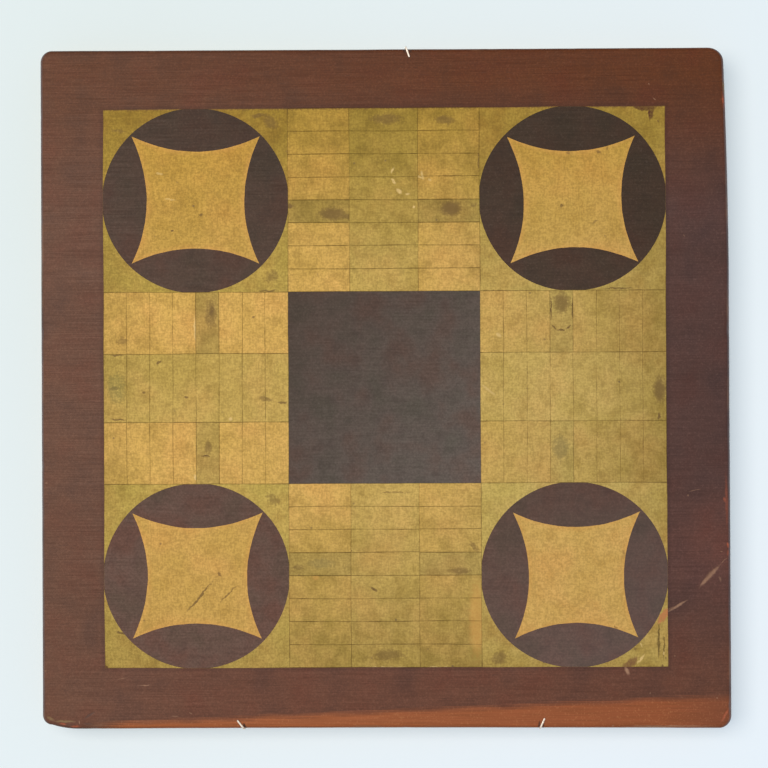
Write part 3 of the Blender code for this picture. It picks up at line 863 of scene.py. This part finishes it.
def stain(tree, p, place):
    """Red brown stain under brown shellac on the board's face: redder at the top, paler for a length
    of the right border, and broken up by the wood's figure, grain and pores and by dust. A painted
    sheen makes it lighter to the left and along the bottom, and darker to the right."""
    # Painted sheen: lighter to the left and darker to the right, as a window mirrored in the shellac.
    colour = coat(tree, "#714b37", "#523631", place[0], -250, 250)
    inputs = {"Value": place[0], "From Min": -220, "From Max": 60, "To Min": 0.5}
    redder = add(tree, "MapRange", inputs)
    colour = coat(tree, colour, "#66330c", place[2], 130, 230, redder)
    # Painted sheen: the lower border is painted lighter, less so at the left corner.
    inputs = {"Value": place[0], "From Min": -230, "From Max": -100, "To Min": 0.2, "To Max": 0.9}
    lower = add(tree, "MapRange", inputs)
    colour = coat(tree, colour, "#724531", place[2], -140, -225, lower)
    height, reach, full = PALE_LENGTH
    paler = add(tree, "Math", {0: place[2], 1: -height}, operation="ADD")
    paler = add(tree, "Math", {0: paler}, operation="ABSOLUTE")
    right = add(tree, "MapRange", {"Value": place[0], "From Min": 190, "From Max": 235, "To Max": 0.6})
    colour = coat(tree, colour, "#74463a", paler, reach, full, right)
    colour = coat(tree, colour, "#f6f1e2", place[2], 140, 225, blend="MULTIPLY")
    colour = coat(tree, colour, "#ffe0d8", p.cloud, 0.5, 0.68, 0.5, blend="MULTIPLY")
    colour = coat(tree, colour, "#d8dce8", p.cloud, 0.5, 0.3, 0.7, blend="MULTIPLY")
    colour = coat(tree, colour, "#c4bcb8", p.figure, 0.35, 0.7, 0.35, blend="MULTIPLY")
    colour = coat(tree, colour, "#a89c98", p.grain, 0.4, 0.7, 0.32, blend="MULTIPLY")
    colour = coat(tree, colour, "#33201a", p.pores, 0.6, 0.75, 0.4)
    colour = coat(tree, colour, "#b4aca8", p.grit, 0.65, 0.4, 0.4, blend="MULTIPLY")
    return coat(tree, colour, "#8f6f60", p.grit, 0.6, 0.8, 0.14)


def worn_band(tree, colour, p, place):
    """The band along the lower edge where the finish is gone and the wood is orange. It climbs to
    the right, starts a little in from the left corner and fades at the right one."""
    slope = add(tree, "Math", {0: place[0], 1: -BAND_SLOPE, 2: place[2]}, operation="MULTIPLY_ADD")
    ragged = add(tree, "Math", {0: p.grain, 1: 6.0, 2: slope}, operation="MULTIPLY_ADD")
    ragged = add(tree, "Math", {0: p.cloud, 1: 5.0, 2: ragged}, operation="MULTIPLY_ADD")
    inputs = {"Value": place[0], "From Min": 254, "From Max": 205, "To Min": 0.5}
    fading = add(tree, "MapRange", inputs)
    orange = coat(tree, "#a0582f", "#8f4b28", place[0], -60, 240)
    orange = coat(tree, orange, "#74401f", p.grain, 0.35, 0.7, 0.6)
    orange = coat(tree, orange, "#bd7a4c", p.grit, 0.55, 0.75, 0.4)
    inputs = {"Value": place[0], "From Min": -222, "From Max": -190, "To Max": fading}
    begun = add(tree, "MapRange", inputs)
    return coat(tree, colour, orange, ragged, *WORN_BAND, begun)


def knocked(tree, colour, p, mm, sideways):
    """Worn arrises, dark ends of the grain, and the scratches and stains. Returns the colour and
    the pattern of the scratches."""
    arris = add(tree, "Attribute", attribute_name="wear").outputs["Fac"]
    chafed = add(tree, "MapRange", {"Value": p.knocks, "From Min": 0.56, "From Max": 0.68, "To Max": 0.6})
    colour = coat(tree, colour, "#8c5f40", arris, 0.3, 0.9, chafed)
    end_arris = add(tree, "Math", {0: arris, 1: sideways}, operation="MULTIPLY")
    colour = coat(tree, colour, "#7d797a", end_arris, 0.1, 0.6, 0.45)
    broken = add(tree, "MapRange", {"Value": p.grit, "From Min": 0.3, "From Max": 0.6, "To Min": 0.55})
    ragged = shaken(tree, mm, 0.8)
    scratched = 0.0
    for mark, places in WOOD_STROKES.items():
        struck = strokes(tree, ragged, places)
        colour = coat(tree, colour, mark, struck, 0.0, 1.0, broken)
        scratched = add(tree, "Math", {0: scratched, 1: struck}, operation="MAXIMUM")
    colour = coat(tree, colour, "#8d8886", sideways, 0.9, 1.0, 0.4, blend="MULTIPLY")
    ringed = add(tree, "Math", {0: sideways, 1: 0.5}, operation="MULTIPLY")
    return coat(tree, colour, "#3a2620", p.rings, 0.5, 0.62, ringed), scratched


def bare_back(tree, p, place, beyond):
    """The back, never finished: dull brown wood with long level annual rings, dirt at its edges and
    a faint tide mark."""
    across = add(tree, "Math", {0: p.flow, 1: 7.0, 2: p.figure}, operation="MULTIPLY_ADD")
    rings = add(tree, "Math", {0: place[2], 1: RING_RATE, 2: across}, operation="MULTIPLY_ADD")
    rings = add(tree, "Math", {0: rings, 1: 1.0}, operation="FRACT")
    raw = coat(tree, "#91734f", "#735637", p.grain, 0.35, 0.7)
    raw = coat(tree, raw, "#614a30", rings, 0.35, 1.0, 0.6)
    raw = coat(tree, raw, "#3f3020", p.pores, 0.58, 0.75, 0.4)
    raw = coat(tree, raw, "#8a8478", p.cloud, 0.5, 0.75, 0.2)
    raw = coat(tree, raw, "#4d3c29", beyond, 20.0, 46.0, 0.45)
    tide = add(tree, "Math", {0: p.tide, 1: 0.5}, operation="SUBTRACT")
    tide = add(tree, "Math", {0: tide}, operation="ABSOLUTE")
    return coat(tree, raw, "#4f3b26", tide, 0.02, 0.0, 0.25)


def stained_wood():
    """A wide plank stained a red brown and shellacked by hand on its face, and left bare behind. The
    eye gets a deep brown with a low sheen and a fine level grain. The finish has worn off along the
    lower edge, where the wood is orange, and in knocks and scratches. The ends of the grain, left
    and right, are darker."""
    material, tree, mm = blank("shellacked_stained_plank")
    # The grain is 0.9 mm wide and runs level. Its pores and the dust are finer than the picture
    # shows, so they are drawn at 0.5 and 1.2 mm.
    p = patterns(
        tree, mm, figure=(260, 60, 17), grain=(40, 30, 0.9), pores=(6, 4, 0.5), grit=(1.2, 1.2, 1.2),
        cloud=(26, 26, 30), knocks=(30, 30, 30), flow=(480, 60, 120), tide=(230, 230, 230),
        rings=(60, 2, 40),
    )
    place = add(tree, "SeparateXYZ", {0: mm}).outputs
    facing = add(tree, "NewGeometry").outputs["Normal"]
    outwards = add(tree, "VectorMath", {0: facing}, operation="ABSOLUTE")
    sideways = add(tree, "SeparateXYZ", {0: outwards}).outputs[0]
    behind = add(tree, "SeparateXYZ", {0: facing}).outputs[1]
    colour = stain(tree, p, place)

    # The stain pooled beside the gold
    left, right, low, high = field()
    half = ((right - left) / 2 / MM, 0, (high - low) / 2 / MM)
    spread = add(tree, "VectorMath", {0: mm}, operation="ABSOLUTE")
    spread = add(tree, "VectorMath", {0: spread, 1: half}, operation="SUBTRACT")
    spread = add(tree, "SeparateXYZ", {0: spread}).outputs
    beyond = add(tree, "Math", {0: spread[0], 1: spread[2]}, operation="MAXIMUM")
    colour = coat(tree, colour, "#bcb2ba", beyond, 3.4, 1.2, 0.4, blend="MULTIPLY")

    colour = worn_band(tree, colour, p, place)
    colour, scratched = knocked(tree, colour, p, mm, sideways)
    colour = coat(tree, colour, bare_back(tree, p, place, beyond), behind, 0.6, 0.9)

    inputs = {"Value": p.grain, "From Min": 0.3, "From Max": 0.7, "To Min": 0.48, "To Max": 0.6}
    rough = add(tree, "MapRange", inputs)
    relief = add(tree, "Math", {0: p.pores, 1: -0.6, 2: p.grain}, operation="MULTIPLY_ADD")
    relief = add(tree, "Math", {0: scratched, 1: -3.0, 2: relief}, operation="MULTIPLY_ADD")
    finish(tree, colour, rough, relief, WOOD_RELIEF, Specular_IOR_Level=0.33)
    return material


KNOT_SPACING = (42, 42, 120)  # mm
SAW_MARKS = 2.4  # mm, about half of the way from one mark to the next
SAW_RELIEF = 0.12  # mm


def bare_wood():
    """Sawn pine left bare and gone brown with age. The eye gets a dull brown with upright grain that
    bends round small knots, and faint saw marks across it."""
    material, tree, mm = blank("bare_aged_pine")
    scaled = add(tree, "Mapping", {"Vector": mm, "Scale": [1 / gap for gap in KNOT_SPACING]})
    knot = add(tree, "TexVoronoi", {"Vector": scaled, "Scale": 1.0})
    bent = add(tree, "Math", {0: knot, 1: 9.0, 2: 0.0}, operation="MULTIPLY_ADD")
    shifted = add(tree, "CombineXYZ", {0: bent})
    shifted = add(tree, "VectorMath", {0: mm, 1: shifted}, operation="ADD")
    # The darker lines of the grain are 1.6 mm wide
    p = patterns(tree, shifted, grain=(1.6, 4, 70), figure=(9, 9, 200), grime=(35, 35, 60))
    scaled = add(tree, "Mapping", {"Vector": mm, "Scale": (1 / 60, 1 / 60, 1 / SAW_MARKS)})
    wave = {"Vector": scaled, "Scale": 0.16, "Distortion": 1.5}  # repeats about every 2 units
    saw = add(tree, "TexWave", wave, bands_direction="Z").outputs["Fac"]
    colour = coat(tree, "#ad8e66", "#84653f", p.grain, 0.35, 0.68)
    colour = coat(tree, colour, "#73552f", p.figure, 0.4, 0.7, 0.55)
    colour = coat(tree, colour, "#5d4a35", p.grime, 0.45, 0.75, 0.6)
    colour = coat(tree, colour, "#8a8072", saw, 0.6, 1.0, 0.15)
    colour = coat(tree, colour, "#6b4426", knot, 0.16, 0.09, 0.7)
    colour = coat(tree, colour, "#35231a", knot, 0.09, 0.05, 0.8)
    relief = add(tree, "Math", {0: saw, 1: 0.5, 2: p.grain}, operation="MULTIPLY_ADD")
    finish(tree, colour, 0.72, relief, SAW_RELIEF, Specular_IOR_Level=0.3)
    return material


def drawn_wire():
    """Drawn steel wire, tinned and gone dull. The eye gets a white skin with a few darker spots."""
    material, tree, mm = blank("tinned_steel_wire")
    # The spots in the tin are finer than the picture shows, so they are drawn at 1.2 mm
    p = patterns(tree, mm, spots=(1.2, 1.2, 1.2))
    colour = coat(tree, "#fbeedd", "#cfc0aa", p.spots, 0.5, 0.7)
    inputs = {"Value": p.spots, "From Min": 0.4, "From Max": 0.7, "To Min": 0.3, "To Max": 0.5}
    rough = add(tree, "MapRange", inputs)
    finish(tree, colour, rough, p.spots, 0.02, Metallic=0.4)
    return material


def dull_screw():
    """Turned steel screws, their heads filed flat. The eye gets a dark grey metal with brown rust
    in patches."""
    material, tree, mm = blank("dull_screw_steel")
    # The file's marks are 0.3 mm wide, and the rust's spots 2 mm
    p = patterns(tree, mm, rust=(1.8, 1.8, 1.8), filed=(4, 1, 0.3))
    colour = coat(tree, "#8b857d", "#5b3a25", p.rust, 0.5, 0.62)
    inputs = {"Value": p.rust, "From Min": 0.45, "From Max": 0.65, "To Min": 0.35, "To Max": 0.8}
    rough = add(tree, "MapRange", inputs)
    inputs = {"Value": p.rust, "From Min": 0.5, "From Max": 0.62, "To Min": 1.0, "To Max": 0.2}
    metal = add(tree, "MapRange", inputs)
    finish(tree, colour, rough, p.filed, 0.03, Metallic=metal)
    return material


# Strokes on the gold, by area and colour: (x, z, x, z, width, strength), in mm
DIRT = "#654c2a"
PALE = "#d6b878"
GOLD_MARKS = {
    "safe": {
        DIRT: (
            (-54, 128.6, -22, 128.4, 15, 0.75), (-44, 128, -12, 126, 6, 0.7),
            (-74, 135.2, -65, 134.4, 6, 0.8), (37, 132, 62, 132, 17, 0.8), (62, 134, 72, 136, 5, 0.5),
            (-128.4, 72, -128.6, 38, 14, 0.6), (-127.6, 64, -128, 50, 7, 0.9),
            (-131, -36, -130.6, -51, 8, 0.6), (-138, -50.2, -128, -50.4, 2.2, 1.0),
            (131.5, 74, 131.5, 50, 19, 0.72), (132, 66, 131, 57, 9, 0.6), (123.2, 70, 123.6, 45, 2, 1.0),
            (123.4, 46, 128, 41.6, 2, 1.0), (127, 41.6, 135, 41.7, 2, 1.0), (134, 41.7, 139.2, 46, 2, 1.0),
            (139.2, 45, 139.3, 70, 2, 1.0), (-71, -133, -58, -133, 6, 0.55), (43, -136, 68, -136, 8, 0.65),
        ),
        "#776c42": ((130, -31, 130, -60, 20, 0.57), (-62, -130.3, -32, -130.3, 12, 0.5)),  # grey bloom
    },
    "home": {
        DIRT: (
            (203.4, 12, 203.4, -17, 15, 0.8), (202.6, -18, 202.6, -26, 3.4, 0.9),
            (-16, 199, 20, 198.6, 12, 0.64), (-16, -198.4, 20, -197.6, 14, 0.58),
            (-12.4, -147.4, -5, -151.2, 3.4, 1.0), (-27, -120.6, -24, -120, 2, 0.8),
            (-169.4, 16.6, -164.6, 21.4, 3, 1.0), (-206, -0.6, -195, 0.4, 4, 0.7),
            (-180.4, -3, -177, -3, 3, 0.9), (-149.4, -7, -144.4, -6.6, 2.4, 0.8),
            (-97, -6, -80, -9.8, 5.4, 0.65), (-81, -10.9, -70.2, -10.9, 3, 0.8),
            (-206, -23, -190, -23.4, 2.2, 0.9), (-206, 24.6, -190, 24.8, 2, 0.8),
            (-11, -77.8, 24, -77.9, 1.8, 0.6),
        ),
        "#77743f": ((-199, 18, -199, -18, 22, 0.5),),  # green bloom
        PALE: (
            (5.4, 157, 8.2, 164, 2.8, 0.8), (4.6, 155, 9.4, 150, 3, 0.85),
            (8.8, 148, 14.4, 142.4, 3.2, 0.85), (15, 143.1, 21, 143.1, 2.6, 0.8),
            (20.8, 133.4, 23.8, 133.4, 3, 1.0), (69, 4.4, 85, -9.4, 3, 0.6),
            (-116.4, -22.8, -112.6, -22.8, 4, 0.8), (-24, -207, 24, -207, 1.3, 0.7),
        ),
    },
    "track": {
        DIRT: (
            (34, 198.4, 57, 197.4, 10, 0.65), (-201, 35, -188, 36, 8, 0.5),
            (70.6, 178, 70.5, 157, 2.6, 0.7), (72.6, 99.4, 72.6, 95.6, 3.4, 1.0),
            (-98.4, 52.6, -94.6, 52.6, 3, 0.8), (60, -112, 71, -124, 6, 0.6),
        ),
        PALE: (
            (-140.4, 58, -140.4, 29, 2.4, 0.8), (-140.7, -63, -140.7, -69, 4, 0.9),
            (82.6, 40.6, 86.8, 36, 4, 0.75), (23, 156.8, 31.6, 153.4, 3.2, 0.7),
            (27.4, 162, 29.8, 153, 3, 0.7), (32.6, 154, 36.4, 152.2, 3, 0.6),
            (26, -207, 54, -207, 1.3, 0.7),
        ),
        "#d9a255": ((67.6, -128, 67.6, -216, 18, 0.52), (-55, -140, -48, -140, 8, 0.5)),  # fresher leaf
    },
    "corner": {
        DIRT: (
            (202, 195.9, 204.2, 195.6, 2.4, 1.0), (-102, 201, -84, 203, 5, 0.65),
            (-97, 71.6, -75, 72, 2.2, 0.8), (158, 72.5, 189, 72.4, 2, 0.9),
            (182.6, -194, 185.4, -193.4, 4, 0.6), (-203, -180, -185, -182, 3.2, 1.0),
            (203.8, -205.4, 205, -207, 2.2, 1.0), (-204, 192, -189, 190, 4, 0.55),
            (-75, 131, -74.5, 169, 2, 0.6), (-92, 205, -76, 190, 13, 0.6), (-90, 77, -76, 88, 12, 0.5),
            (-90, -77, -76, -88, 12, 0.5), (75, -205, 92, -196, 14, 0.65),
        ),
        "#655026": (  # runs of shellac
            (201.6, -170, 201.2, -206, 3.2, 1.0), (205.2, -180, 205, -206, 2.0, 0.9),
        ),
        "#53301c": (  # bared wood
            (182, 206.4, 204.6, 206, 7.5, 1.4), (197.4, 213, 198, 194.6, 6.6, 1.4),
            (-210.4, -203.6, -204.6, -209.4, 4, 1.0),
        ),
        "#b9774a": ((199.6, -177, 211, -162, 7.4, 1.3),),  # orange ground
        "#7b5836": ((173, -210, 188, -199, 7.6, 1.3),),  # a chip
        PALE: (
            (184.4, -206.4, 192, -196.6, 2.4, 1.0), (187, -189, 190, -193.4, 2, 0.8),
            (205.1, -195, 205.1, -199, 2.2, 1.0),
        ),
    },
    "star": {
        DIRT: (
            (-123, -137, -152, -172, 2.3, 0.85), (-107, -143.4, -126, -161.6, 2.1, 0.75),
            (-124.4, -135.6, -120.6, -140.4, 3.4, 0.8), (165.4, 173.6, 166.6, 178.6, 2.4, 0.8),
            (93, 135.6, 101, 138.4, 2, 0.6), (176, -116, 176, -132, 3.4, 0.5),
            (167.4, -176.6, 172.6, -179.4, 2.4, 0.8), (-137.4, 128.5, -133.6, 128.5, 3.4, 1.0),
            (-158.8, 116.7, -155.4, 116.7, 3.2, 1.0), (134.6, 173.4, 139.4, 172.4, 3.4, 0.8),
            (156.6, 175.4, 162.4, 171.6, 3.4, 0.8), (130, 134, 133.8, 134, 3.8, 1.0),
            (153.4, 119.6, 159.6, 124, 3, 0.65),
        ),
        PALE: ((-170, 159.4, -163, 159.4, 3, 0.6), (-166, 141, -152, 139.6, 2.6, 0.6)),
    },
}

track_gold = gold_leaf("gold_leaf_track", "#d9b264", "#caab62", "#a28943", "#fffaec", GOLD_MARKS["track"])
home_gold = gold_leaf("gold_leaf_home", "#d9b76a", "#d6b76d", "#a98e47", "#dfe1c8", GOLD_MARKS["home"])
safe_gold = gold_leaf(
    "gold_leaf_safe_space", "#d1b065", "#caaf65", "#978143", "#d8d7c0", GOLD_MARKS["safe"]
)
corner_gold = gold_leaf(
    "gold_leaf_corner", "#d4ba66", "#d4ba6e", "#b2954c", "#d8d2b2", GOLD_MARKS["corner"]
)
star_gold = gold_leaf(
    "gold_leaf_star", "#deb264", "#dcb367", "#d5ab5e", "#e5e5ca", GOLD_MARKS["star"], rim_colour="#d09a50"
)
# Each dark paint is painted paler towards one side as a sheen: the discs towards the lower left, the square
# towards the lower right.
disc_paint = dark_paint("dark_oil_paint_disc", "#392719", "#664b3f", -0.0018, -0.0052)
square_paint = dark_paint("dark_oil_paint_square", "#48372d", "#635850", 0.007, -0.007)

panel(stained_wood())
middle_square(square_paint)
CELLS = {"inner_run": 3, "safe_space": 1, "outer_run": 4}
for arm in ("top", "left", "bottom", "right"):
    sideways = arm in ("left", "right")
    strip(f"{arm}_arm_home_column", sum(CELLS.values()), sideways, home_gold)
    for side in ("left", "right"):
        for run, cells in CELLS.items():
            leaf, slot = (safe_gold, "safe_gold") if run == "safe_space" else (track_gold, "track_gold")
            strip(f"{arm}_arm_{side}_{run}", cells, sideways, leaf)
for name in STAR_TIPS:
    corner(name, corner_gold, disc_paint, star_gold)

pine = bare_wood()
screw_steel = dull_screw()
for side in ("left", "right"):
    batten(side, pine, screw_steel)
wire = drawn_wire()
for name in ("top_pin", "bottom_left_pin", "bottom_right_pin"):
    pin(name, wire)


# Room, light and camera

WALL_HALF = 4.0
WALL_PLANE = 0.3 * MM  # just behind the battens
CAMERA_DISTANCE = 1342.1 * MM
CAMERA_AIM = Vector((-0.36 * MM, FACE, 2.43 * MM))
CAMERA_ANGLES = (0.814, -0.462, -0.278)  # yaw, pitch and roll in degrees
CAMERA_LENS = 85  # mm, like the sensor's width
CAMERA_SENSOR = 36
AIR_SHARE = 0.24  # how much of a colour's brightness the light from all round gives


def painted_wall():
    """A pale blue grey wall, rolled and matt, with a faint grain, and with painted light that makes
    it brighter towards the lower right. It is one-sided, so that the board's back can be seen through it."""
    material, tree, mm = blank("painted_wall")
    # Painted light: brighter towards the lower right, as if the light were stronger there.
    painted_light_slant = add(tree, "VectorMath", {0: mm, 1: (1 / 400, 0, -1 / 500)}, operation="DOT_PRODUCT")
    colour = coat(tree, "#e6efec", "#f1f9fd", painted_light_slant, -1.0, 1.0)
    p = patterns(tree, mm, plaster=(3, 3, 3))  # a roller leaves a grain of about 3 mm
    relief = add(tree, "Bump", {"Strength": 0.15, "Distance": 0.3 * MM, "Height": p.plaster})
    paint = add(tree, "BsdfDiffuse", {"Color": colour, "Normal": relief})
    path = add(tree, "LightPath").outputs
    seen = add(tree, "Math", {0: path["Is Camera Ray"], 1: path["Is Glossy Ray"]}, operation="MAXIMUM")
    seen = add(tree, "Math", {0: seen, 1: path["Is Transmission Ray"]}, operation="MAXIMUM")
    back = add(tree, "NewGeometry").outputs["Backfacing"]
    front = add(tree, "Math", {0: 1.0, 1: back}, operation="SUBTRACT")
    there = add(tree, "Math", {0: seen, 1: front}, operation="MULTIPLY")
    surface = add(tree, "MixShader", {0: there, 1: add(tree, "BsdfTransparent"), 2: paint})
    add(tree, "OutputMaterial", {"Surface": surface})
    return material


def wall():
    """The wall that the pins are in. It isn't part of the object."""
    bm = bmesh.new()
    spread = ((-1, -1), (1, -1), (1, 1), (-1, 1))
    bm.faces.new([bm.verts.new((x * WALL_HALF, WALL_PLANE, z * WALL_HALF)) for x, z in spread])
    mesh = bpy.data.meshes.new("wall")
    bm.to_mesh(mesh)
    bm.free()
    mesh.materials.append(painted_wall())
    obj = bpy.data.objects.new("wall", mesh)
    bpy.context.scene.collection.objects.link(obj)


def window(name, azimuth, elevation, distance, width, height, share, tint, mirrored=True):
    """A soft lamp that looks at the board. Share is how much of a colour's own brightness it
    gives the board's face. A lamp that isn't mirrored leaves no glare on the finish."""
    a, e = math.radians(azimuth), math.radians(elevation)
    way = Vector((math.sin(a) * math.cos(e), -math.cos(a) * math.cos(e), math.sin(e)))
    lamp = bpy.data.lights.new(name, "AREA")
    lamp.shape = "RECTANGLE"
    lamp.size = width
    lamp.size_y = height
    lamp.color = linear(tint)[:3]
    lamp.energy = math.pi**2 * share * distance**2 / abs(way.y)
    obj = bpy.data.objects.new(name, lamp)
    obj.location = way * distance
    obj.rotation_mode = "QUATERNION"
    obj.rotation_quaternion = way.to_track_quat("Z", "Y")
    obj.visible_glossy = mirrored
    bpy.context.scene.collection.objects.link(obj)


def air():
    """Even light from all round. What is seen beyond the wall is as pale as the wall, and what the
    finish mirrors from there is a little duller."""
    world = bpy.data.worlds.new("room")
    bpy.context.scene.world = world
    world.use_nodes = True
    tree = world.node_tree
    tree.nodes.clear()
    path = add(tree, "LightPath").outputs
    rays = {0: path["Is Camera Ray"], 1: path["Is Transmission Ray"]}
    seen = add(tree, "Math", rays, operation="MAXIMUM")
    dim = [AIR_SHARE * c for c in linear("#cfe0ff")[:3]] + [1.0]
    colour = coat(tree, dim, "#c6c0b6", path["Is Glossy Ray"], 0.0, 1.0)
    colour = coat(tree, colour, "#e7eff0", seen, 0.0, 1.0)
    add(tree, "OutputWorld", {"Surface": add(tree, "Background", {"Color": colour, "Strength": 1.0})})


def camera():
    """The camera stands all but square before the board, a little right of its middle and low."""
    yaw, pitch, roll = (math.radians(angle) for angle in CAMERA_ANGLES)
    back = Vector((math.sin(yaw) * math.cos(pitch), -math.cos(yaw) * math.cos(pitch), math.sin(pitch)))
    right = (-back).cross(Vector((0, 0, 1))).normalized()
    up = back.cross(right)
    turned_right = right * math.cos(roll) + up * math.sin(roll)
    turned_up = up * math.cos(roll) - right * math.sin(roll)
    data = bpy.data.cameras.new("camera")
    data.lens = CAMERA_LENS
    data.sensor_width = CAMERA_SENSOR
    obj = bpy.data.objects.new("camera", data)
    basis = Matrix((turned_right, turned_up, back)).transposed().to_4x4()
    obj.matrix_world = Matrix.Translation(CAMERA_AIM + back * CAMERA_DISTANCE) @ basis
    bpy.context.scene.collection.objects.link(obj)
    bpy.context.scene.camera = obj


wall()
window("front_window", -1, 1, 4.0, 1.0, 1.0, 0.458, "#f0faff", mirrored=False)
window("left_window", -18, 8, 4.5, 3.6, 2.8, 0.498, "#fff2e5")
window("back_left_window", 145, 10, 2.6, 1.4, 1.4, 0.4, "#ffffff")
window("back_right_window", -145, 10, 2.6, 1.4, 1.4, 0.4, "#ffffff")
air()
camera()
bpy.context.scene.view_settings.view_transform = "Standard"
